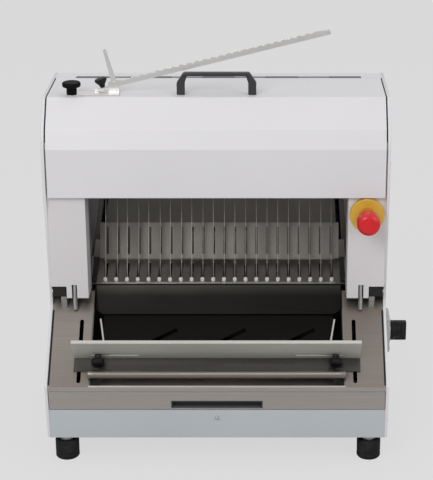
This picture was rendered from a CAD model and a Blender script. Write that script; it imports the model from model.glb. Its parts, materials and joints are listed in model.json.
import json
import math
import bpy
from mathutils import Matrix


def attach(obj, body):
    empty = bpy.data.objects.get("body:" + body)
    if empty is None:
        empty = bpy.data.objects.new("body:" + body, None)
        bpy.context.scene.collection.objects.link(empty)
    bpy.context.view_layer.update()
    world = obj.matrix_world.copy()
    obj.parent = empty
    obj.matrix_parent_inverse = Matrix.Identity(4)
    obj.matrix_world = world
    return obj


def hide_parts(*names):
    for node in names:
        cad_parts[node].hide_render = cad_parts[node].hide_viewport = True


bl_info = {
    "name": "Bread Slicer Dressing",
    "version": (1, 0, 0),
    "blender": (4, 5, 0),
    "location": "View3D > Sidebar > Slicer",
    "description": "Dresses the packed bread slicer with detailed pieces, finishes, light and camera",
    "category": "Object",
}

import bmesh
import bpy
from mathutils import Matrix, Vector

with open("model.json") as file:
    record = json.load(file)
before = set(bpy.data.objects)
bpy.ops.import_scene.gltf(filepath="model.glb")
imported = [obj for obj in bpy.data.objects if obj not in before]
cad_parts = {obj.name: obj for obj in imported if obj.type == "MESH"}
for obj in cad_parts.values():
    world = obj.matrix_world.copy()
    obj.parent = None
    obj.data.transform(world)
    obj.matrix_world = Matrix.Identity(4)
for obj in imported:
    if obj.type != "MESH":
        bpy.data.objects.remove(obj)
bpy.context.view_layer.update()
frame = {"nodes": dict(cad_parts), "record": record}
NODES = frame["nodes"]

MM = 0.001

# The model's own planes, repeated from its source in metres
SIDE_X = 0.3
BAY_X = 0.295
FRONT_Y = -0.289
HINGE_Y = 0.001
LIP_Z = 0.149
BODY_H = 0.63
COLUMN_Y = -0.183
COMB_Y = -0.099
COMB_Z = 0.294
BLADE_LEAN = 20.0
DECK_SLOPE = 41.0
ARM_SLOPE = 14.0
BLADE_PITCH = 0.0195
BLADE_COUNT = 22
FRAME_OFFSET = 0.0095
BLADE_LOW = -0.1
BLADE_HIGH = 0.27307
HINGE_HALF = 0.257
HINGE_LEAF = 0.0062
HINGE_DROP = 0.013
FOOT_SPOTS = [(x, y) for x in (-0.269, 0.269) for y in (-0.256, 0.256)]
KNOB_X = 0.208
KNOB_Y = 0.047
KNOB_Z = 0.0145
LIP_FACE_Y = -0.2874
DRAWER_SHEET_Y = -0.2812

# Places measured in the deck's own frame
TROUGH_TOP = -0.0035
TROUGH_START = 0.006
APRON_START = 0.1535
APRON_X = 0.2235
FOOT_TOP = 0.0035
FOOT_END = 0.0545
WIRE_BOLT_END = 0.0565

# Angles and distances for cleaning the meshes
FLAT = math.radians(1.0)
CREASE = math.radians(28)
RIM = math.radians(50)
STRAIGHT = math.radians(177)
SAME_PLACE = 1e-6


def tilted(y, z, angle):
    """A frame that leans about X, with its origin on the middle plane."""
    return Matrix.Translation((0, y, z)) @ Matrix.Rotation(math.radians(angle), 4, "X")


BLADES = tilted(COMB_Y, COMB_Z, -BLADE_LEAN)
TABLE = tilted(COMB_Y, COMB_Z, BLADE_LEAN)
DECK = tilted(FRONT_Y, LIP_Z, DECK_SLOPE)
ARM = Matrix.Translation((-0.178, -0.116, 0.649)) @ Matrix.Rotation(math.radians(-ARM_SLOPE), 4, "Y")
TO_FRONT = Matrix.Rotation(math.radians(90), 4, "X")
TO_SIDE = Matrix.Rotation(math.radians(90), 4, "Y")
HOLDER_KNOB = Matrix.Translation((-0.25, -0.132, BODY_H + 0.0001))
CLAMP_KNOB = ARM @ Matrix.Translation((-0.021, 0, -0.0027))
STOP = Matrix.Translation((0.2615, COLUMN_Y, 0.4315)) @ TO_FRONT
SWITCH = Matrix.Translation((SIDE_X, -0.146, 0.196)) @ TO_SIDE


def at(x, y, z):
    return Matrix.Translation((x, y, z))


# Meshes


def link_mesh(name, bm, sharp=32):
    """Turns a bmesh into a linked object with smooth faces and sharp creases."""
    bmesh.ops.recalc_face_normals(bm, faces=bm.faces)
    mesh = bpy.data.meshes.new(name)
    bm.to_mesh(mesh)
    bm.free()
    mesh.shade_smooth()
    mesh.set_sharp_from_angle(angle=math.radians(sharp))
    piece = bpy.data.objects.new(name, mesh)
    bpy.context.scene.collection.objects.link(piece)
    return piece


def turned_point(bm, matrix, reach, turn, height):
    return bm.verts.new(matrix @ Vector((reach * math.cos(turn), reach * math.sin(turn), height)))


def add_lathe(bm, outline, matrix, segments=48, wave=None):
    """Turns an outline of (radius, height) points round the frame's Z axis. A wave changes each radius."""
    rings = []
    for radius, height in outline:
        if radius == 0:
            rings.append([bm.verts.new(matrix @ Vector((0, 0, height)))])
            continue
        ring = []
        for step in range(segments):
            turn = 2 * math.pi * step / segments
            reach = radius if wave is None else wave(radius, height, turn)
            ring.append(turned_point(bm, matrix, reach, turn, height))
        rings.append(ring)
    for low, high in zip(rings, rings[1:]):
        for step in range(segments):
            after = (step + 1) % segments
            if len(low) == 1 and len(high) == 1:
                break
            if len(low) == 1:
                bm.faces.new((low[0], high[after], high[step]))
            elif len(high) == 1:
                bm.faces.new((low[step], low[after], high[0]))
            else:
                bm.faces.new((low[step], low[after], high[after], high[step]))


def rounded(outline, radius, steps=4):
    """Rounds the inner corners of an open outline. A radius is given for all corners, or one for each."""
    result = [outline[0]]
    for index in range(1, len(outline) - 1):
        here = Vector(outline[index])
        back = Vector(outline[index - 1]) - here
        ahead = Vector(outline[index + 1]) - here
        size = radius[index] if isinstance(radius, (list, tuple)) else radius
        turn = back.angle(ahead, math.pi)
        if size <= 0 or turn > STRAIGHT:
            result.append(tuple(here))
            continue
        longest = 0.48 * min(back.length, ahead.length)
        reach = min(size / math.tan(turn / 2), longest)
        start = here + back.normalized() * reach
        end = here + ahead.normalized() * reach
        for step in range(steps + 1):
            part = step / steps
            point = (1 - part) ** 2 * start + 2 * part * (1 - part) * here + part ** 2 * end
            result.append(tuple(point))
    result.append(outline[-1])
    return result


def all_verts(faces, before):
    """The vertices of new faces, and those of the old ones that are left."""
    return list({vert for face in faces for vert in face.verts} | {vert for vert in before if vert.is_valid})


def add_box(bm, low, high, matrix, soft=0.0, steps=2):
    """A block between two corners, with its edges rounded."""
    made = bmesh.ops.create_cube(bm, size=1.0)["verts"]
    middle = [(a + b) / 2 for a, b in zip(low, high)]
    size = [b - a for a, b in zip(low, high)]
    bmesh.ops.scale(bm, vec=size, verts=made)
    bmesh.ops.translate(bm, vec=middle, verts=made)
    if soft > 0:
        edges = list({edge for vert in made for edge in vert.link_edges})
        bevelled = bmesh.ops.bevel(bm, geom=edges, offset=soft, segments=steps, profile=0.5, affect="EDGES")
        made = all_verts(bevelled["faces"], made)
    bmesh.ops.transform(bm, matrix=matrix, verts=made)


def add_prism(bm, outline, near, far, matrix, soft=0.0, steps=2):
    """Carries a closed (x, z) outline along the frame's Y axis, with the rims rounded."""
    verts = [bm.verts.new(Vector((x, near, z))) for x, z in outline]
    face = bm.faces.new(verts)
    pushed = bmesh.ops.extrude_face_region(bm, geom=[face])["geom"]
    moved = [item for item in pushed if isinstance(item, bmesh.types.BMVert)]
    bmesh.ops.translate(bm, vec=(0, far - near, 0), verts=moved)
    made = verts + moved
    if soft > 0:
        rims = set()
        for vert in made:
            for edge in vert.link_edges:
                if len(edge.link_faces) == 2 and edge.calc_face_angle(0) > RIM:
                    rims.add(edge)
        bevelled = bmesh.ops.bevel(
            bm, geom=list(rims), offset=soft, segments=steps, profile=0.5, affect="EDGES", clamp_overlap=True
        )
        made = all_verts(bevelled["faces"], made)
    bmesh.ops.transform(bm, matrix=matrix, verts=made)


def softened(node, width, name, cut=None, keep=None):
    """A copy of a part with rounded creases, cut at a Y plane and reduced to the faces that a test keeps."""
    bm = bmesh.new()
    bm.from_mesh(NODES[node].data)
    bmesh.ops.remove_doubles(bm, verts=bm.verts, dist=SAME_PLACE)
    bmesh.ops.dissolve_limit(bm, angle_limit=FLAT, verts=bm.verts, edges=bm.edges)
    creases = []
    for edge in bm.edges:
        if len(edge.link_faces) == 2 and edge.calc_face_angle(0) > CREASE:
            creases.append(edge)
    bmesh.ops.bevel(
        bm, geom=creases, offset=width, segments=2, profile=0.5, affect="EDGES", clamp_overlap=True
    )
    if cut is not None:
        whole = list(bm.verts) + list(bm.edges) + list(bm.faces)
        bmesh.ops.bisect_plane(bm, geom=whole, plane_co=(0, cut, 0), plane_no=(0, 1, 0))
    if keep is not None:
        left_out = [face for face in bm.faces if not keep(face.calc_center_median())]
        bmesh.ops.delete(bm, geom=left_out, context="FACES")
    piece = link_mesh(name, bm)
    normals = piece.modifiers.new("even_normals", "WEIGHTED_NORMAL")
    normals.keep_sharp = True
    return piece


def dress(piece, body, slot, *replaced, finish=None):
    """Gives a piece its finish, its body and the parts it stands for."""
    piece.data.materials.clear()
    piece.data.materials.append(FINISHES[finish or slot])
    if replaced:
        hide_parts(*replaced)
    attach(piece, body)


def add_piece(name, bm, body, slot, *replaced, finish=None, sharp=32):
    dress(link_mesh(name, bm, sharp), body, slot, *replaced, finish=finish)


def screw_head(bm, matrix, radius, height):
    """A button head with a hexagonal socket."""
    sides = 32
    sector = math.pi / 3
    socket = radius * 0.36
    mouth = radius * 0.5
    top = height * 0.98
    bottom = height * 0.35
    outline = rounded([
        (radius * 0.98, 0), (radius, height * 0.25), (radius * 0.75, height * 0.85), (mouth, height),
    ], radius * 0.2)
    add_lathe(bm, outline, matrix, sides)
    rim = []
    floor = []
    edge = []
    for step in range(sides):
        turn = 2 * math.pi * step / sides
        flat = sector / 2 - abs((turn % sector) - sector / 2)
        reach = socket / math.cos(sector / 2 - flat)
        rim.append(turned_point(bm, matrix, reach, turn, top))
        floor.append(turned_point(bm, matrix, reach, turn, bottom))
        edge.append(turned_point(bm, matrix, mouth, turn, height))
    for step in range(sides):
        after = (step + 1) % sides
        bm.faces.new((edge[step], edge[after], rim[after], rim[step]))
        bm.faces.new((rim[step], rim[after], floor[after], floor[step]))
    bm.faces.new(floor)
    bmesh.ops.remove_doubles(bm, verts=rim + floor + edge, dist=SAME_PLACE)


# Finishes

# Socket numbers of the colour blend
MIX_FIRST = 6
MIX_SECOND = 7
MIX_COLOUR = 2


def shaded(color, factor):
    return tuple(min(channel * factor, 1.0) for channel in color)


class Shader:
    """A small builder for one node material."""

    def __init__(self, name):
        self.material = bpy.data.materials.new(name)
        self.material.use_nodes = True
        self.tree = self.material.node_tree
        self.tree.nodes.clear()
        self.output = self.add("ShaderNodeOutputMaterial")
        self.surface = self.add("ShaderNodeBsdfPrincipled")
        self.join(self.surface, "BSDF", self.output, "Surface")
        self.place = self.add("ShaderNodeTexCoord")

    def add(self, kind):
        return self.tree.nodes.new(kind)

    def join(self, source, out, target, into):
        self.tree.links.new(source.outputs[out], target.inputs[into])

    def set(self, **values):
        for name, value in values.items():
            self.surface.inputs[name.replace("_", " ")].default_value = value

    def noise(self, scale, detail=4.0, stretch=(1, 1, 1), rough=0.55):
        """Noise over the piece in metres, drawn out by stretch."""
        mapping = self.add("ShaderNodeMapping")
        mapping.inputs["Scale"].default_value = stretch
        self.join(self.place, "Object", mapping, "Vector")
        noise = self.add("ShaderNodeTexNoise")
        noise.inputs["Scale"].default_value = scale
        noise.inputs["Detail"].default_value = detail
        noise.inputs["Roughness"].default_value = rough
        self.join(mapping, "Vector", noise, "Vector")
        return noise

    def cells(self, scale):
        """A pattern of rounded cells over the piece."""
        cells = self.add("ShaderNodeTexVoronoi")
        cells.inputs["Scale"].default_value = scale
        self.join(self.place, "Object", cells, "Vector")
        return cells

    def spread(self, source, out, low, high, start=0.3, end=0.7):
        """Carries a grey value to the range from low to high."""
        scale = self.add("ShaderNodeMapRange")
        scale.inputs["From Min"].default_value = start
        scale.inputs["From Max"].default_value = end
        scale.inputs["To Min"].default_value = low
        scale.inputs["To Max"].default_value = high
        self.join(source, out, scale, "Value")
        return scale

    def mix(self, grey, first, second):
        """Blends two colours by a spread grey value."""
        blend = self.add("ShaderNodeMix")
        blend.data_type = "RGBA"
        blend.inputs[MIX_FIRST].default_value = (*first, 1)
        blend.inputs[MIX_SECOND].default_value = (*second, 1)
        self.join(grey, "Result", blend, "Factor")
        return blend

    def tint(self, blend):
        """Uses a blend as the surface's colour."""
        self.join(blend, MIX_COLOUR, self.surface, "Base Color")

    def cloud(self, source, color, dark, light):
        """Varies the surface's colour between a darker and a lighter shade."""
        tone = self.spread(source, "Fac", 0.0, 1.0)
        self.tint(self.mix(tone, shaded(color, dark), shaded(color, light)))

    def wear(self, source, low, high):
        """Varies the roughness between two values."""
        gloss = self.spread(source, "Fac", low, high)
        self.join(gloss, "Result", self.surface, "Roughness")

    def raised(self, source, out, strength, distance, under):
        """Raises the surface by a grey value, over the relief under it."""
        bump = self.add("ShaderNodeBump")
        bump.inputs["Strength"].default_value = strength
        bump.inputs["Distance"].default_value = distance
        self.join(source, out, bump, "Height")
        self.join(under, "Normal", bump, "Normal")
        return bump

    def edges(self, radius):
        """Gives sharp edges a small highlight."""
        bevel = self.add("ShaderNodeBevel")
        bevel.samples = 4
        bevel.inputs["Radius"].default_value = radius
        return bevel

    def relief(self, source, out, strength, distance, under):
        """Uses raised relief as the surface's normal."""
        bump = self.raised(source, out, strength, distance, under)
        self.join(bump, "Normal", self.surface, "Normal")


def powder_coat(name, color, roughness=0.42, grain=0.12):
    """Baked enamel on sheet: fine orange peel, faint clouds and small rub marks."""
    shader = Shader(name)
    shader.cloud(shader.noise(3.0, 3.0), color, 0.965, 1.015)
    shader.wear(shader.noise(22.0, 5.0, (1, 1, 2.2)), roughness - 0.06, roughness + 0.08)
    shader.relief(shader.noise(900.0, 2.0), "Fac", grain, 0.0004, shader.edges(0.0006))
    shader.set(Coat_Weight=0.15, Coat_Roughness=0.25)
    return shader.material


ALONG_X = (1.5, 260, 260)


def brushed(name, color, roughness=0.34, lines=ALONG_X, contrast=0.1, strength=0.1, metal=1.0):
    """Brushed sheet metal with lines along the sheet and soft smudges."""
    shader = Shader(name)
    brush = shader.noise(4.0, 5.0, lines, 0.7)
    scratch = shader.noise(2.0, 6.0, (30, 500, 90), 0.75)
    shader.cloud(brush, color, 1 - contrast, 1 + contrast)
    shader.wear(shader.noise(9.0, 4.0), roughness - 0.05, roughness + 0.1)
    fine = shader.raised(scratch, "Fac", strength * 0.4, 0.0002, shader.edges(0.0005))
    shader.relief(brush, "Fac", strength, 0.0002, fine)
    shader.set(Metallic=metal, Anisotropic=0.35)
    return shader.material


def shadowed_sheet(name, low, high, lip_color):
    """Brushed sheet, dark at the bottom of the trough and lighter towards the lip and the finger plate."""
    wall_foot = 0.262
    wall_top = 0.288
    lip_end = 0.15
    lip_start = 0.16
    shader = Shader(name)
    place = shader.add("ShaderNodeSeparateXYZ")
    shader.join(shader.place, "Object", place, "Vector")
    height = shader.spread(place, "Z", 0.0, 0.75, wall_foot, wall_top)
    wall = shader.mix(height, low, high)
    lip = shader.spread(place, "Z", 1.0, 0.0, lip_end, lip_start)
    base = shader.mix(lip, low, lip_color)
    shader.join(wall, MIX_COLOUR, base, MIX_FIRST)
    shader.tint(base)
    shader.wear(shader.noise(7.0, 4.0, (1, 3, 3)), 0.3, 0.48)
    shader.relief(shader.noise(4.0, 5.0, ALONG_X, 0.7), "Fac", 0.1, 0.0002, shader.edges(0.0005))
    shader.set(Metallic=1.0)
    return shader.material


def turned(name, color, roughness=0.28):
    """Machined steel: fine marks all ways and a thin oil film."""
    shader = Shader(name)
    film = shader.noise(12.0, 3.0)
    shader.cloud(film, color, 0.94, 1.04)
    shader.wear(film, roughness - 0.05, roughness + 0.09)
    shader.relief(shader.noise(900.0, 2.0), "Fac", 0.015, 0.0002, shader.edges(0.0004))
    shader.set(Metallic=1.0)
    return shader.material


def zinc_plate(name, color):
    """Zinc plated sheet with a fine spangle."""
    shader = Shader(name)
    clouds = shader.noise(14.0, 4.0)
    tone = shader.spread(shader.cells(160.0), "Distance", 0.0, 1.0, 0.0, 0.8)
    shader.tint(shader.mix(tone, shaded(color, 1.06), shaded(color, 0.9)))
    shader.wear(clouds, 0.34, 0.52)
    shader.relief(clouds, "Fac", 0.05, 0.0006, shader.edges(0.0005))
    shader.set(Metallic=0.9)
    return shader.material


def moulded(name, color, roughness=0.42, grain=0.22, rubbed=0.5, shine=0.22):
    """Moulded plastic: spark-eroded grain, a little dust and lighter rubbed rims."""
    shader = Shader(name)
    rim = shader.spread(shader.add("ShaderNodeNewGeometry"), "Pointiness", 0.0, rubbed, 0.51, 0.62)
    shader.tint(shader.mix(rim, color, tuple(channel + 0.06 for channel in color)))
    shader.wear(shader.noise(55.0, 5.0), roughness - 0.06, roughness + 0.1)
    shader.relief(shader.noise(1500.0, 3.0), "Fac", grain, 0.0003, shader.edges(0.0004))
    shader.set(IOR=1.48, Specular_IOR_Level=shine)
    return shader.material


def glossy_plastic(name, color, roughness=0.22):
    """Smooth moulded plastic with slight sink marks and depth."""
    shader = Shader(name)
    sink = shader.noise(45.0, 3.0)
    shader.cloud(sink, color, 0.93, 1.05)
    shader.wear(sink, roughness - 0.04, roughness + 0.07)
    shader.relief(sink, "Fac", 0.04, 0.0008, shader.edges(0.0004))
    shader.set(Subsurface_Weight=0.04, Subsurface_Radius=(0.004, 0.002, 0.001), IOR=1.5)
    return shader.material


def rubber(name, color):
    """Matt rubber with dust in its grain."""
    shader = Shader(name)
    dust = shader.noise(40.0, 5.0)
    tone = shader.spread(dust, "Fac", 0.0, 1.0, 0.45, 0.8)
    shader.tint(shader.mix(tone, color, tuple(channel + 0.03 for channel in color)))
    shader.wear(dust, 0.62, 0.85)
    shader.relief(shader.noise(700.0, 4.0), "Fac", 0.2, 0.0004, shader.edges(0.0006))
    shader.set(Specular_IOR_Level=0.25)
    return shader.material


def cast_surface(name, color, size, depth, metallic):
    """Cast or hammered surface: soft dimples under a thin coat."""
    shader = Shader(name)
    dimple = shader.cells(size)
    dimple.feature = "SMOOTH_F1"
    clouds = shader.noise(25.0, 4.0)
    shader.cloud(clouds, color, 0.85, 1.12)
    shader.wear(clouds, 0.36, 0.56)
    shader.relief(dimple, "Distance", depth, 0.0008, shader.edges(0.0008))
    shader.set(Metallic=metallic)
    return shader.material


def colour(name, description, default):
    return bpy.props.FloatVectorProperty(
        name=name, description=description, subtype="COLOR", default=default
    )


class SLICER_Colours(bpy.types.PropertyGroup):
    """Colours of the finishes."""

    enamel: colour("Enamel", "Powder coat of the casing and hood", (0.83, 0.815, 0.84))
    column: colour("Columns", "Satin coat of the front columns", (0.77, 0.74, 0.755))
    front: colour("Lower front", "Coat of the lower front panel", (0.57, 0.61, 0.65))
    steel: colour("Brushed steel", "Drawer front and the hem above it", (0.5, 0.465, 0.435))
    deck: colour("Front deck", "Dull sheet of the front deck and grip bar", (0.25, 0.222, 0.2))
    dark: colour("Dark steel", "Feed table, base pan and wire bolts", (0.06, 0.055, 0.05))
    trough: colour("Trough", "Bottom of the trough below the finger plate", (0.0115, 0.011, 0.01))
    comb: colour("Finger plate", "Dull steel of the finger plate", (0.36, 0.33, 0.3))
    stop: colour("Stop head", "Emergency stop head", (0.72, 0.008, 0.013))
    ring: colour("Stop ring", "Disc behind the emergency stop", (0.74, 0.46, 0.055))
    plastic: colour("Black plastic", "Knobs, catches and inlet", (0.006, 0.006, 0.007))


FINISHES = {}


def add_finish(kind, name, color, *values, **options):
    FINISHES[name] = kind(name, tuple(color), *values, **options)


def make_finishes(colours):
    """Builds every finish once."""
    FINISHES.clear()
    add_finish(powder_coat, "white_enamel", colours.enamel)
    add_finish(powder_coat, "column_enamel", colours.column, 0.38)
    add_finish(powder_coat, "front_enamel", colours.front, 0.36)
    add_finish(brushed, "brushed_steel", colours.steel)
    add_finish(brushed, "fence_steel", (0.6, 0.585, 0.54), 0.5, metal=0.35)
    add_finish(brushed, "tray_steel", (0.02, 0.019, 0.018), 0.5)
    add_finish(brushed, "pusher_steel", (0.21, 0.195, 0.18), 0.46, (160, 160, 2), 0.14)
    add_finish(brushed, "deck_steel", colours.deck, 0.38)
    add_finish(brushed, "dark_steel", colours.dark, 0.42)
    add_finish(brushed, "foot_steel", (0.088, 0.083, 0.076), 0.42)
    add_finish(shadowed_sheet, "trough_steel", colours.trough, tuple(colours.dark), tuple(colours.deck))
    add_finish(brushed, "comb_steel", colours.comb, 0.46, (160, 2, 160), 0.14)
    add_finish(brushed, "blade_steel", (0.3, 0.295, 0.285), 0.32, (300, 300, 3), 0.06, 0.05)
    add_finish(brushed, "holder_steel", (0.84, 0.83, 0.82), 0.3, (2, 300, 300), 0.04, 0.012)
    add_finish(zinc_plate, "plain_steel", (0.58, 0.58, 0.57))
    add_finish(turned, "machined_steel", (0.56, 0.55, 0.54))
    add_finish(turned, "frame_steel", (0.03, 0.029, 0.028), 0.42)
    add_finish(cast_surface, "cast_iron", (0.16, 0.16, 0.165), 420, 0.25, 0.7)
    add_finish(cast_surface, "motor_paint", (0.1, 0.13, 0.17), 260, 0.35, 0.0)
    add_finish(rubber, "black_rubber", (0.008, 0.008, 0.009))
    add_finish(moulded, "black_plastic", colours.plastic)
    add_finish(moulded, "knob_plastic", colours.plastic, 0.5, 0.22, 0.3, 0.06)
    add_finish(moulded, "handle_plastic", (0.045, 0.045, 0.048), 0.36, 0.22, 0.6)
    add_finish(moulded, "nylon", (0.8, 0.8, 0.76), 0.4, 0.08, 0.1)
    add_finish(glossy_plastic, "red_plastic", colours.stop)
    add_finish(glossy_plastic, "yellow_plastic", colours.ring, 0.38)


class SLICER_OT_finishes(bpy.types.Operator):
    """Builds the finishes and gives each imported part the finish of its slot"""

    bl_idname = "slicer.finishes"
    bl_label = "Finishes"

    def execute(self, context):
        make_finishes(context.scene.slicer_colours)
        for row in frame["record"]["subparts"]:
            node = NODES[row["node"]]
            for spot in node.material_slots:
                spot.material = FINISHES[row["material_slot"]]
        return {"FINISHED"}


# Sheet and block parts whose shape is the model's own, with their creases rounded

SHEET_PARTS = [
    ("left_side_panel", "casing", "white_enamel", 0.0012),
    ("right_side_panel", "casing", "white_enamel", 0.0012),
    ("lower_front_panel", "casing", "front_enamel", 0.0006),
    ("left_column", "casing", "column_enamel", 0.0006),
    ("right_column", "casing", "column_enamel", 0.0006),
    ("rear_panel", "casing", "white_enamel", 0.0005),
    ("comb_plate", "casing", "comb_steel", 0.0005),
    ("feed_table", "casing", "dark_steel", 0.0004),
    ("pusher_handle", "pusher", "black_plastic", 0.0008),
    ("comb_end_blocks", "casing", "black_plastic", 0.0008),
    ("table_catches", "casing", "black_plastic", 0.002),
    ("catch_pins", "casing", "plain_steel", 0.0006),
    ("holder_base", "bag_holder", "holder_steel", 0.0004),
    ("holder_jaw", "holder_jaw", "holder_steel", 0.0003),
    ("motor_bracket", "casing", "plain_steel", 0.0008),
    ("left_inner_plate", "casing", "plain_steel", 0.0004),
    ("right_inner_plate", "casing", "plain_steel", 0.0004),
    ("base_pan", "casing", "dark_steel", 0.0004),
    ("guide_blocks", "casing", "nylon", 0.0008),
    ("foot_spacers", "casing", "plain_steel", 0.0005),
    ("power_inlet", "casing", "black_plastic", 0.0006),
]


def on_deck(spot):
    return DECK.inverted() @ spot


def in_trough(spot):
    """Whether a place on the front table lies in the trough or on the apron."""
    local = on_deck(spot)
    if local.z < TROUGH_TOP and local.y > TROUGH_START:
        return True
    return local.y > APRON_START and abs(local.x) < APRON_X


def on_lip(spot):
    """Whether a place on the front table lies on the hem above the drawer."""
    return spot.y < LIP_FACE_Y


def in_foot(spot):
    """Whether a place on the fence lies on the foot that slides on the deck."""
    local = on_deck(spot)
    return local.z < FOOT_TOP and local.y < FOOT_END


def on_bolt(spot):
    """Whether a place on a guide wire lies on the bolt through the fence."""
    return on_deck(spot).y <= WIRE_BOLT_END


# Parts with finishes of their own: name, slot, finish and the test that keeps a face
SPLIT_PARTS = [
    ("front_table", "casing", 0.0005, [
        ("deck_sheet", "deck_steel", "deck_steel", lambda spot: not in_trough(spot) and not on_lip(spot)),
        ("lip_sheet", "deck_steel", "brushed_steel", on_lip),
        ("trough_sheet", "dark_steel", "trough_steel", in_trough),
    ]),
    ("fence", "fence", 0.0003, [
        ("fence_face", "fence_steel", "fence_steel", lambda spot: not in_foot(spot)),
        ("fence_foot", "dark_steel", "foot_steel", in_foot),
    ]),
    ("crumb_drawer", "drawer", 0.0005, [
        ("drawer_front", "brushed_steel", "brushed_steel", lambda spot: spot.y < DRAWER_SHEET_Y),
        ("drawer_tray", "dark_steel", "tray_steel", lambda spot: spot.y >= DRAWER_SHEET_Y),
    ]),
    ("pusher_plate", "pusher", 0.0004, [
        ("pusher_sheet", "comb_steel", "pusher_steel", None),
    ]),
]
for end in ("front", "rear"):
    SPLIT_PARTS.append((end + "_blade_frame", end + "_frame", 0.0005, [
        (end + "_frame_bars", "machined_steel", "frame_steel", None),
    ]))
for hand in ("left", "right"):
    SPLIT_PARTS.append((hand + "_guide_wire", hand + "_guide", 0.0003, [
        (hand + "_wire", "machined_steel", "machined_steel", lambda spot: not on_bolt(spot)),
        (hand + "_wire_bolt", "dark_steel", "dark_steel", on_bolt),
    ]))


def on_hinge(spot, cut, side):
    """Whether a place on the hood or the rear cover belongs to the hinge's leaf or knuckles."""
    return (spot.y - cut) * side < 0 and spot.z > BODY_H - HINGE_DROP and abs(spot.x) < HINGE_HALF


class SLICER_OT_sheets(bpy.types.Operator):
    """Rounds the creases of the casing, hood, drawer and other sheet and block parts"""

    bl_idname = "slicer.sheets"
    bl_label = "Sheet parts"

    def execute(self, context):
        for node, body, slot, width in SHEET_PARTS:
            dress(softened(node, width, node + "_finished"), body, slot, node)

        for node, body, width, rows in SPLIT_PARTS:
            for name, slot, finish, keep in rows:
                piece = softened(node, width, name, None, keep)
                dress(piece, body, slot, node, finish=finish)

        edge = 0.0006
        for node, body, side in (("hood", "hood", -1), ("rear_top_cover", "casing", 1)):
            cut = HINGE_Y + side * HINGE_LEAF
            for name, slot, leaf in (("_sheet", "white_enamel", False), ("_knuckles", "cast_iron", True)):
                piece = softened(
                    node, edge, node + name, cut, lambda spot: on_hinge(spot, cut, side) == leaf
                )
                dress(piece, body, slot, node)
        return {"FINISHED"}


class SLICER_Sizes(bpy.types.PropertyGroup):
    """Sizes of the details."""

    tooth_pitch: bpy.props.FloatProperty(
        name="Tooth pitch", description="Distance between two blade teeth", default=8 * MM,
        min=3 * MM, max=16 * MM, unit="LENGTH",
    )
    tooth_depth: bpy.props.FloatProperty(
        name="Tooth depth", description="Depth of the scallop between two teeth", default=1.5 * MM,
        min=0.5 * MM, max=3 * MM, unit="LENGTH",
    )
    flute_depth: bpy.props.FloatProperty(
        name="Knob flutes", description="Depth of the grip flutes on the round knobs", default=0.5 * MM,
        min=0.0, max=1.5 * MM, unit="LENGTH",
    )
    handle_round: bpy.props.FloatProperty(
        name="Handle edge", description="Rounding of the hood handle's edges", default=1.6 * MM,
        min=0.5 * MM, max=3 * MM, unit="LENGTH",
    )


class SLICER_OT_handle(bpy.types.Operator):
    """Makes the moulded handle on top of the hood"""

    bl_idname = "slicer.handle"
    bl_label = "Hood handle"

    def execute(self, context):
        half = 0.069
        leg = 0.014
        top = 0.039
        bar = 0.006
        deep = 0.0065
        middle_y = -0.1205
        shoulder = top - 0.018
        chamfer = 0.012
        outer = rounded([
            (-half, 0), (-half, shoulder), (-half + chamfer, top),
            (half - chamfer, top), (half, shoulder), (half, 0),
        ], 0.005, 3)
        inside = half - leg
        inner = rounded([
            (inside, 0), (inside, shoulder), (inside - 0.004, top - bar),
            (-inside + 0.004, top - bar), (-inside, shoulder), (-inside, 0),
        ], 0.003, 3)
        soft = context.scene.slicer_sizes.handle_round
        bm = bmesh.new()
        add_prism(bm, outer + inner, -deep, deep, at(0, middle_y, BODY_H), soft, 3)
        add_piece(
            "hood_handle_moulding", bm, "hood", "black_plastic", "hood_handle",
            finish="handle_plastic", sharp=40,
        )
        return {"FINISHED"}


def add_blade(bm, x, offset, sizes):
    """One toothed strip, its scalloped edge towards the loaf."""
    inset = 0.011
    low = BLADE_LOW + inset
    high = BLADE_HIGH - inset
    half = 0.005
    thin = 0.0005
    ground = 0.0012
    count = int((high - low) / sizes.tooth_pitch) * 6
    before = None
    for step in range(count + 1):
        along = low + (high - low) * step / count
        wave = abs(math.sin(math.pi * (along - low) / sizes.tooth_pitch))
        edge = half - sizes.tooth_depth * wave
        row = [
            BLADES @ Vector((x - thin, offset - half, along)),
            BLADES @ Vector((x - thin, offset + edge - ground, along)),
            BLADES @ Vector((x, offset + edge, along)),
            BLADES @ Vector((x + thin, offset + edge - ground, along)),
            BLADES @ Vector((x + thin, offset - half, along)),
        ]
        row = [bm.verts.new(point) for point in row]
        if before is None:
            bm.faces.new(row)
        else:
            for side in range(5):
                after = (side + 1) % 5
                bm.faces.new((before[side], before[after], row[after], row[side]))
        before = row
    bm.faces.new(list(reversed(before)))


HOOK_H = 0.014


def add_blade_hook(bm, x, offset, along):
    """The pressed end fitting of a blade, with the pin that tightens it."""
    half_x = 0.003
    half_y = 0.006
    low = (x - half_x, offset - half_y, along)
    high = (x + half_x, offset + half_y, along + HOOK_H)
    add_box(bm, low, high, BLADES, 0.0008)
    pin = BLADES @ at(x - 0.0042, offset, along + HOOK_H / 2) @ TO_SIDE
    outline = [(0, 0), (0.0021, 0), (0.0025, 0.0004), (0.0025, 0.008), (0.0021, 0.0084), (0, 0.0084)]
    add_lathe(bm, outline, pin, 20)


FIRST_BLADE_X = -BLADE_PITCH * (BLADE_COUNT - 1) / 2


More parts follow.
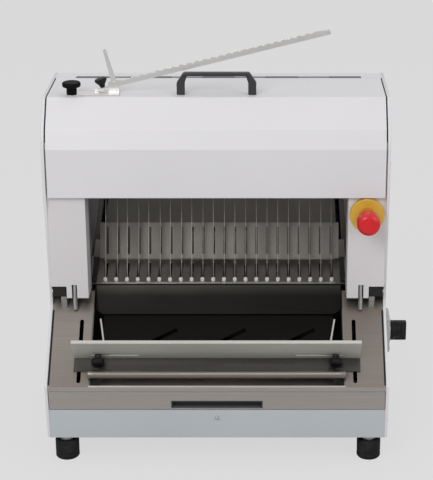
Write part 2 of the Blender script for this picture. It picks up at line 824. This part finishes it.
class SLICER_OT_blades(bpy.types.Operator):
    """Makes the toothed blades of both frames with their end fittings"""

    bl_idname = "slicer.blades"
    bl_label = "Blades"

    def execute(self, context):
        sizes = context.scene.slicer_sizes
        for side, body in ((-1, "front_frame"), (1, "rear_frame")):
            bm = bmesh.new()
            for index in range(0 if side < 0 else 1, BLADE_COUNT, 2):
                x = FIRST_BLADE_X + index * BLADE_PITCH
                add_blade(bm, x, side * FRAME_OFFSET, sizes)
                add_blade_hook(bm, x, side * FRAME_OFFSET, BLADE_LOW)
                add_blade_hook(bm, x, side * FRAME_OFFSET, BLADE_HIGH - HOOK_H)
            name = "front_blades" if side < 0 else "rear_blades"
            add_piece(name + "_toothed", bm, body, "blade_steel", name)
        return {"FINISHED"}


class SLICER_OT_guides(bpy.types.Operator):
    """Makes the white guide buttons in front of the blades"""

    bl_idname = "slicer.guides"
    bl_label = "Blade guides"

    def execute(self, context):
        button_y = -0.027
        outline = rounded([(0.0035, 0), (0.0035, 0.005), (0, 0.005)], 0.0012, 3)
        bm = bmesh.new()
        for index in range(BLADE_COUNT):
            add_lathe(bm, outline, TABLE @ at(FIRST_BLADE_X + index * BLADE_PITCH, button_y, 0), 24)
        add_piece("blade_guide_buttons", bm, "casing", "nylon", "blade_guides")
        return {"FINISHED"}


class SLICER_OT_stop(bpy.types.Operator):
    """Makes the emergency stop's bare disc and mushroom head"""

    bl_idname = "slicer.stop"
    bl_label = "Emergency stop"

    def execute(self, context):
        disc = rounded([
            (0, 0), (0.03, 0), (0.03, 0.01), (0.0135, 0.01), (0.0132, 0.0085), (0.0073, 0.0085),
        ], [0, 0.0005, 0.0018, 0.0004, 0, 0], 4)
        bm = bmesh.new()
        add_lathe(bm, disc, STOP, 96)
        bore = [(0.0073, 0.0085), (0.0073, -0.012), (0.011, -0.012), (0.011, 0)]
        add_lathe(bm, bore, STOP, 64)
        add_piece("stop_disc", bm, "casing", "yellow_plastic", "stop_ring")

        head = rounded([
            (0, 0), (0.0165, 0), (0.0195, 0.0012), (0.02, 0.004), (0.02, 0.0205), (0.0185, 0.0255),
            (0.0145, 0.0285), (0.008, 0.0297), (0, 0.03),
        ], 0.004, 4)
        stem_end = 0.036
        bm = bmesh.new()
        add_lathe(bm, head, STOP @ at(0, 0, stem_end), 96)
        add_piece("stop_mushroom", bm, "stop_head", "red_plastic", "stop_head", sharp=50)
        return {"FINISHED"}


def add_fluted(bm, outline, matrix, flutes, depth, low, high):
    """A turned knob whose rim carries soft flutes between two heights."""

    def wave(radius, height, turn):
        if not low < height < high:
            return radius
        return radius - depth * (0.5 + 0.5 * math.cos(flutes * turn)) ** 3

    add_lathe(bm, outline, matrix, flutes * 8, wave)


class SLICER_OT_knobs(bpy.types.Operator):
    """Makes the black grip knobs of the fence guides and the bag holder"""

    bl_idname = "slicer.knobs"
    bl_label = "Knobs"

    def execute(self, context):
        depth = context.scene.slicer_sizes.flute_depth
        guide = rounded([
            (0, 0.0095), (0.00226, 0.0095), (0.00226, 0), (0.007, 0), (0.007, 0.001), (0.0105, 0.001),
            (0.0115, 0.0025), (0.0115, 0.0085), (0.01, 0.011), (0.0062, 0.011),
            (0.0052, 0.0103), (0, 0.0103),
        ], 0.0006, 2)
        for name, x in (("left_guide_knob", -KNOB_X), ("right_guide_knob", KNOB_X)):
            bm = bmesh.new()
            add_fluted(bm, guide, DECK @ at(x, KNOB_Y, KNOB_Z) @ TO_FRONT, 16, depth, 0.0022, 0.0088)
            add_piece(name + "_fluted", bm, name, "black_plastic", name)

        swivel = rounded([
            (0, 0), (0.0035, 0), (0.0035, 0.0032), (0.0085, 0.0032), (0.009, 0.0045), (0.009, 0.0148),
            (0.015, 0.0166), (0.016, 0.0182), (0.016, 0.0228), (0.0145, 0.0245),
            (0.008, 0.0245), (0, 0.0245),
        ], 0.0014, 3)
        bm = bmesh.new()
        add_fluted(bm, swivel, HOLDER_KNOB, 20, depth, 0.0172, 0.0238)
        add_piece(
            "holder_knob_fluted", bm, "holder_knob", "black_plastic", "holder_knob", finish="knob_plastic"
        )

        clamp = rounded([
            (0, 0), (0.004, 0), (0.0046, 0.002), (0.0055, 0.005), (0.0088, 0.009), (0.0108, 0.012),
            (0.0108, 0.0148), (0.0092, 0.016), (0, 0.016),
        ], 0.0014, 3)
        bm = bmesh.new()
        add_fluted(bm, clamp, CLAMP_KNOB, 8, depth * 1.6, 0.0085, 0.0156)
        add_piece("clamp_knob_lobed", bm, "clamp_knob", "black_plastic", "clamp_knob")
        return {"FINISHED"}


class SLICER_OT_switch(bpy.types.Operator):
    """Makes the side switch: its cast plate with screws and its rotary knob"""

    bl_idname = "slicer.switch"
    bl_label = "Side switch"

    def execute(self, context):
        half_x = 0.033
        half_y = 0.026
        thick = 0.0085
        inset = 0.006
        collar = rounded([(0.0225, 0.0083), (0.0225, 0.01), (0.0051, 0.01), (0.0051, 0.003)], 0.0006, 2)
        bm = bmesh.new()
        add_box(bm, (-half_x, -half_y, 0), (half_x, half_y, thick), SWITCH, 0.0022, 3)
        add_lathe(bm, collar, SWITCH, 64)
        for x in (inset - half_x, half_x - inset):
            for y in (inset - half_y, half_y - inset):
                screw_head(bm, SWITCH @ at(x, y, thick - 0.0001), 0.0028, 0.0014)
        add_piece("switch_mounting", bm, "casing", "plain_steel", "switch_plate")

        base = rounded([
            (0, 0.0033), (0.005, 0.0033), (0.005, 0.0103), (0.0175, 0.0103), (0.018, 0.0115),
            (0.018, 0.015), (0.0145, 0.021), (0.0138, 0.028), (0, 0.0284),
        ], 0.0012, 3)
        bm = bmesh.new()
        add_fluted(bm, base, SWITCH, 24, 0.0004, 0.0108, 0.0152)
        add_box(bm, (-0.0178, -0.0058, 0.015), (0.0178, 0.0058, 0.04), SWITCH, 0.0022, 4)
        add_piece("switch_knob_pointer", bm, "switch_knob", "black_plastic", "switch_knob")
        return {"FINISHED"}


class SLICER_OT_feet(bpy.types.Operator):
    """Makes the ribbed rubber feet"""

    bl_idname = "slicer.feet"
    bl_label = "Feet"

    def execute(self, context):
        outline = rounded([
            (0.00425, 0.036), (0.00425, 0.004), (0.0085, 0.004), (0.0085, 0), (0.019, 0), (0.021, 0.0025),
            (0.021, 0.009), (0.02, 0.01), (0.02, 0.0115), (0.021, 0.0125), (0.021, 0.033),
            (0.019, 0.036), (0.00425, 0.036),
        ], 0.0009, 2)
        bm = bmesh.new()
        for x, y in FOOT_SPOTS:
            add_lathe(bm, outline, at(x, y, 0), 64)
        add_piece("ribbed_feet", bm, "casing", "black_rubber", "feet")
        return {"FINISHED"}


# Places (y, z) of the screws in each side panel
SIDE_SCREWS = [
    (-0.161, 0.516), (-0.249, 0.066), (0.0, 0.066), (0.259, 0.066), (0.259, 0.2702), (0.004, 0.6),
]


class SLICER_OT_screws(bpy.types.Operator):
    """Makes the casing's socket screws"""

    bl_idname = "slicer.screws"
    bl_label = "Screws"

    def execute(self, context):
        front_screw = at(0, -0.28278, 0.087) @ TO_FRONT
        bm = bmesh.new()
        for side in (-1, 1):
            turn = Matrix.Rotation(math.radians(90 * side), 4, "Y")
            for y, z in SIDE_SCREWS:
                screw_head(bm, at(side * SIDE_X, y, z) @ turn, 0.004, 0.003)
        screw_head(bm, front_screw, 0.0035, 0.0026)
        add_piece("casing_screws", bm, "casing", "machined_steel", "panel_screws")
        return {"FINISHED"}


class SLICER_OT_edges(bpy.types.Operator):
    """Makes the black seals beside the deck and the bright strip on the finger plate's front edge"""

    bl_idname = "slicer.edges"
    bl_label = "Edges"

    def execute(self, context):
        strip_x = 0.211
        seal_in = BAY_X - 0.003
        seal_out = BAY_X - 0.0002
        bm = bmesh.new()
        for side in (-1, 1):
            near, far = sorted((side * seal_in, side * seal_out))
            add_box(bm, (near, 0.004, -0.0002), (far, 0.15, 0.0014), DECK, 0.0004)
        add_piece("deck_seals", bm, "casing", "black_rubber")

        bm = bmesh.new()
        add_box(bm, (-strip_x, -0.0358, -0.0003), (strip_x, -0.0322, 0.0005), TABLE, 0.0002)
        add_piece("finger_plate_edge", bm, "casing", "holder_steel")
        return {"FINISHED"}


class SLICER_OT_pull(bpy.types.Operator):
    """Makes the drawer's recessed black pull"""

    bl_idname = "slicer.pull"
    bl_label = "Drawer pull"

    def execute(self, context):
        low = 0.1065
        high = 0.1215
        low_y = -0.28406
        high_y = -0.28566
        back_y = low_y + 0.0126
        end_x = 0.08
        wall = 0.002
        overlap = 0.001
        outline = rounded([
            (low_y, low), (back_y, low), (high_y + 0.0142, high), (high_y, high), (high_y, high - 0.0022),
            (high_y + 0.0101, high - 0.0026), (low_y + 0.0101, low + 0.004), (low_y + 0.0026, low + 0.0021),
            (low_y, low + 0.0024),
        ], 0.0011, 3)
        end = [(low_y, low), (low_y + 0.0121, low), (low_y + 0.0121, high), (high_y, high)]
        swap = Matrix(((0, 1, 0, 0), (1, 0, 0, 0), (0, 0, 1, 0), (0, 0, 0, 1)))
        bm = bmesh.new()
        add_prism(bm, outline[:-1], overlap - end_x, end_x - overlap, swap)
        for side in (-1, 1):
            add_prism(bm, end, side * (end_x - wall), side * end_x, swap, 0.0006)
        add_piece(
            "drawer_pull_moulding", bm, "drawer", "black_plastic", "drawer_pull", finish="handle_plastic"
        )
        return {"FINISHED"}


class SLICER_OT_grip(bpy.types.Operator):
    """Makes the round grip bar in front of the fence with its end caps"""

    bl_idname = "slicer.grip"
    bl_label = "Grip bar"

    def execute(self, context):
        centre = DECK @ at(0, 0.021, 0.0078)
        bracket_x = 0.201
        bm = bmesh.new()
        tube = rounded([
            (0, -0.225), (0.0066, -0.225), (0.0075, -0.224), (0.0075, -0.214), (0.0072, -0.2136),
            (0.0072, 0.2136), (0.0075, 0.214), (0.0075, 0.224), (0.0066, 0.225), (0, 0.225),
        ], 0.0005, 2)
        add_lathe(bm, tube, centre @ TO_SIDE, 48)
        add_piece("fence_grip_bar", bm, "fence", "deck_steel", "fence_bar")

        bm = bmesh.new()
        for side in (-1, 1):
            middle = side * bracket_x
            add_box(bm, (middle - 0.006, 0.0235, 0.0024), (middle + 0.006, 0.035, 0.0053), DECK, 0.0007)
            screw_head(bm, DECK @ at(middle, 0.0313, 0.0052), 0.0026, 0.0016)
        add_piece("grip_brackets", bm, "fence", "dark_steel", "fence_bar")
        return {"FINISHED"}


class SLICER_OT_motor(bpy.types.Operator):
    """Makes the finned motor housing with its fan cowl and terminal box"""

    bl_idname = "slicer.motor"
    bl_label = "Motor"

    def execute(self, context):
        axis = at(0, 0.189, 0.13) @ TO_SIDE
        front = 0.21
        back = 0.045
        reach = 0.065
        cowl = 0.0598
        shaft = 0.0075
        fin_depth = 0.005
        fin_start = back + 0.0061
        fin_end = front - 0.0101
        ring_step = 0.0185

        def fins(radius, height, turn):
            if back + 0.006 < height < front - 0.01 and radius > cowl + 0.0002:
                return radius - fin_depth * (0.5 + 0.5 * math.cos(36 * turn)) ** 2
            return radius

        housing = [(0, back - 0.018), (0.05, back - 0.018), (0.058, back - 0.014), (cowl, back - 0.006)]
        housing += [(cowl, back), (reach, back)]
        housing += [(reach, fin_start + ring_step * step) for step in range(8)]
        housing += [(reach, fin_end), (reach, front - 0.001), (0.064, front), (0.039, front)]
        housing += [(0.039, front + 0.013), (shaft, front + 0.013), (shaft, front - 0.03)]
        bm = bmesh.new()
        add_lathe(bm, housing, axis, 288, fins)
        add_piece("motor_housing", bm, "casing", "motor_paint", "motor_body")
        return {"FINISHED"}


# Stage


FLOOR_HALF = 14.0
GLOW = 1.075
HOLD = 0.85


def glow_stage(name, color):
    """A pale surface that stays even behind the object and still takes its shadow."""
    shader = Shader(name)
    shader.surface.inputs["Base Color"].default_value = (*color, 1)
    shader.set(Roughness=0.9, Specular_IOR_Level=0.1)
    glow = shader.add("ShaderNodeEmission")
    glow.inputs["Color"].default_value = (*color, 1)
    glow.inputs["Strength"].default_value = GLOW
    path = shader.add("ShaderNodeLightPath")
    share = shader.add("ShaderNodeMath")
    share.operation = "MULTIPLY"
    share.inputs[1].default_value = HOLD
    shader.join(path, "Is Camera Ray", share, 0)
    blend = shader.add("ShaderNodeMixShader")
    shader.join(share, "Value", blend, "Fac")
    shader.join(shader.surface, "BSDF", blend, 1)
    shader.join(glow, "Emission", blend, 2)
    shader.join(blend, "Shader", shader.output, "Surface")
    return shader.material


class SLICER_View(bpy.types.PropertyGroup):
    """Camera and light."""

    pitch: bpy.props.FloatProperty(
        name="Pitch", description="How far the camera looks down", subtype="ANGLE",
        default=math.radians(20.0), min=0.0, max=math.radians(60),
    )
    shift: bpy.props.FloatProperty(
        name="Shift", description="Sideways shift of the picture", default=-0.1022, min=-0.5, max=0.5,
    )
    place: bpy.props.FloatVectorProperty(
        name="Place", description="Where the camera stands", subtype="TRANSLATION", unit="LENGTH",
        default=(0.085, -2.754, 1.319),
    )
    focal_length: bpy.props.FloatProperty(
        name="Focal length", description="Focal length of the lens in millimetres", default=117.07,
        min=20.0, max=300.0,
    )
    floor: colour("Floor", "Colour of the floor and backdrop", (0.701, 0.701, 0.701))
    ambient: bpy.props.FloatProperty(
        name="Ambient", description="Strength of the light from all round", default=0.46, min=0.0, max=2.0,
    )


# Name, place, aim, width and height, power
LAMPS = [
    ("front_softbox", (-1.2, -2.6, 2.4), (0, -0.1, 0.35), (1.8, 1.4), 34),
    ("right_softbox", (2.2, -1.6, 1.8), (0, 0, 0.35), (1.4, 1.4), 12),
    ("top_softbox", (0.0, 0.2, 3.0), (0, 0, 0.4), (2.4, 2.0), 8),
]


def add_lamp(name, place, aim, size, power):
    lamp = bpy.data.lights.new(name, "AREA")
    lamp.shape = "RECTANGLE"
    lamp.size = size[0]
    lamp.size_y = size[1]
    lamp.energy = power
    holder = bpy.data.objects.new(name, lamp)
    bpy.context.scene.collection.objects.link(holder)
    holder.location = place
    holder.rotation_euler = (Vector(aim) - Vector(place)).to_track_quat("-Z", "Y").to_euler()


def add_background(tree, color, strength):
    background = tree.nodes.new("ShaderNodeBackground")
    background.inputs["Color"].default_value = (*color, 1)
    background.inputs["Strength"].default_value = strength
    return background


class SLICER_OT_stage(bpy.types.Operator):
    """Makes the floor, the soft light and the camera"""

    bl_idname = "slicer.stage"
    bl_label = "Stage"

    def execute(self, context):
        scene = context.scene
        view = scene.slicer_view
        scene.view_settings.view_transform = "Standard"
        camera = bpy.data.cameras.new("studio_camera")
        camera.lens = view.focal_length
        camera.sensor_width = 36
        camera.clip_end = 50
        holder = bpy.data.objects.new("studio_camera", camera)
        scene.collection.objects.link(holder)
        holder.location = view.place
        camera.shift_x = view.shift
        holder.rotation_euler = (math.radians(90) - view.pitch, 0, 0)
        scene.camera = holder

        bm = bmesh.new()
        bmesh.ops.create_grid(bm, x_segments=2, y_segments=2, size=FLOOR_HALF)
        floor = link_mesh("studio_floor", bm)
        floor.data.materials.append(glow_stage("studio_floor", tuple(view.floor)))

        world = bpy.data.worlds.new("studio")
        world.use_nodes = True
        tree = world.node_tree
        tree.nodes.clear()
        output = tree.nodes.new("ShaderNodeOutputWorld")
        soft = add_background(tree, (1, 1, 1), view.ambient)
        seen = add_background(tree, view.floor, 1)
        path = tree.nodes.new("ShaderNodeLightPath")
        share = path.outputs["Is Camera Ray"]
        for ray in ("Is Glossy Ray", "Is Transmission Ray"):
            either = tree.nodes.new("ShaderNodeMath")
            either.operation = "MAXIMUM"
            tree.links.new(share, either.inputs[0])
            tree.links.new(path.outputs[ray], either.inputs[1])
            share = either.outputs["Value"]
        blend = tree.nodes.new("ShaderNodeMixShader")
        tree.links.new(share, blend.inputs["Fac"])
        tree.links.new(soft.outputs["Background"], blend.inputs[1])
        tree.links.new(seen.outputs["Background"], blend.inputs[2])
        tree.links.new(blend.outputs["Shader"], output.inputs["Surface"])
        scene.world = world

        for row in LAMPS:
            add_lamp(*row)
        return {"FINISHED"}


class SLICER_PT_panel(bpy.types.Panel):
    """Lists the slicer's steps and settings"""

    bl_label = "Bread slicer"
    bl_idname = "SLICER_PT_panel"
    bl_space_type = "VIEW_3D"
    bl_region_type = "UI"
    bl_category = "Slicer"

    def draw(self, context):
        layout = self.layout
        scene = context.scene
        for step in STEPS:
            layout.operator(step.bl_idname)
        for group in (scene.slicer_colours, scene.slicer_sizes, scene.slicer_view):
            column = layout.column()
            for name in group.__annotations__:
                column.prop(group, name)


STEPS = [
    SLICER_OT_stage, SLICER_OT_finishes, SLICER_OT_sheets, SLICER_OT_handle, SLICER_OT_blades,
    SLICER_OT_guides, SLICER_OT_stop, SLICER_OT_knobs, SLICER_OT_switch, SLICER_OT_feet,
    SLICER_OT_screws, SLICER_OT_edges, SLICER_OT_pull, SLICER_OT_grip, SLICER_OT_motor,
]
GROUPS = [SLICER_Colours, SLICER_Sizes, SLICER_View]


def register():
    for item in GROUPS + STEPS + [SLICER_PT_panel]:
        bpy.utils.register_class(item)
    bpy.types.Scene.slicer_colours = bpy.props.PointerProperty(type=SLICER_Colours)
    bpy.types.Scene.slicer_sizes = bpy.props.PointerProperty(type=SLICER_Sizes)
    bpy.types.Scene.slicer_view = bpy.props.PointerProperty(type=SLICER_View)


def unregister():
    del bpy.types.Scene.slicer_view
    del bpy.types.Scene.slicer_sizes
    del bpy.types.Scene.slicer_colours
    for item in reversed(GROUPS + STEPS + [SLICER_PT_panel]):
        bpy.utils.unregister_class(item)


def main():
    """Runs every step in order."""
    register()
    for step in STEPS:
        group, name = step.bl_idname.split(".")
        getattr(getattr(bpy.ops, group), name)()


if __name__ == "__main__":
    main()
